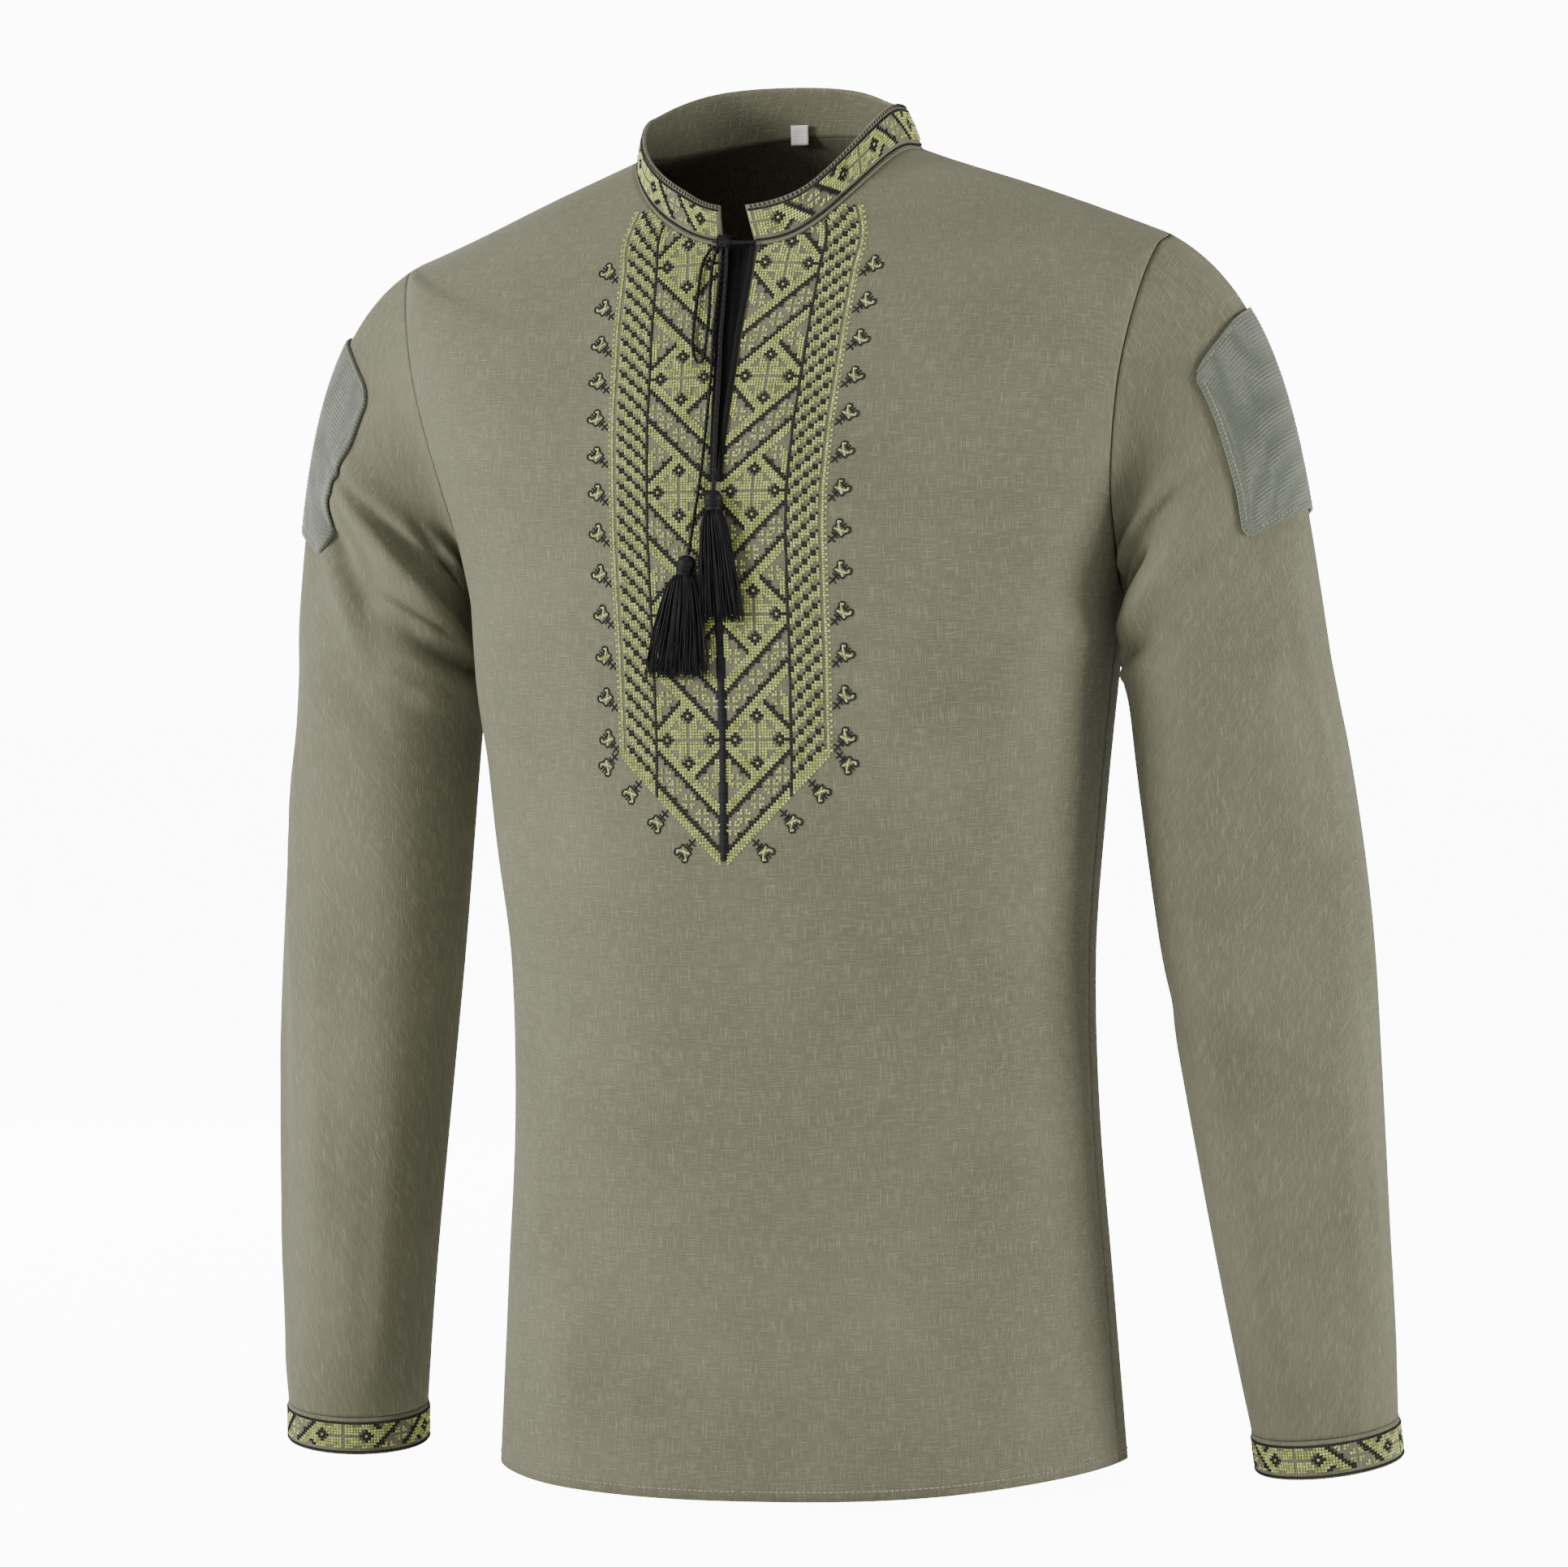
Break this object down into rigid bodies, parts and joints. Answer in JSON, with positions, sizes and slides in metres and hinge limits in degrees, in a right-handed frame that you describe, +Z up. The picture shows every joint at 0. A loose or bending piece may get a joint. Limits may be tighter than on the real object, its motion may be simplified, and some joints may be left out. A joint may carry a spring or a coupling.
{
  "type": "embroidered shirt",
  "caption": "Men's pullover shirt in olive linen with a stand collar, a tied neck slit with tassels and green and black cross-stitch on chest, collar and cuffs.",
  "frame": {"origin": "middle of the neck, level with the points where the collar and shoulder seams meet; the wearer holds the shirt there", "axes": "+Z up, front faces -Y, the wearer's left is +X"},
  "size_m": [0.6442, 0.2468, 0.7562],
  "materials": {
    "linen": "matt woven linen",
    "band": "linen covered in cross-stitch",
    "loop_tape": "brushed loop tape",
    "black_cotton": "black cotton with a slight sheen",
    "white_tape": "white satin tape, blank"
  },
  "bodies": {
    "root": {"front": "linen", "back": "linen", "sleeve_left": "linen", "sleeve_right": "linen", "collar": "band", "cuff_left": "band", "cuff_right": "band", "arm_pad_left": "loop_tape", "arm_pad_right": "loop_tape", "slit_binding_left": "black_cotton", "slit_binding_right": "black_cotton", "slit_facing": "black_cotton", "size_tag": "white_tape", "bow_knot": "black_cotton", "bow_loop": "black_cotton", "tie_end_left": "black_cotton", "tie_end_right": "black_cotton", "tassel_left": "black_cotton", "tassel_right": "black_cotton"}
  },
  "joints": []
}
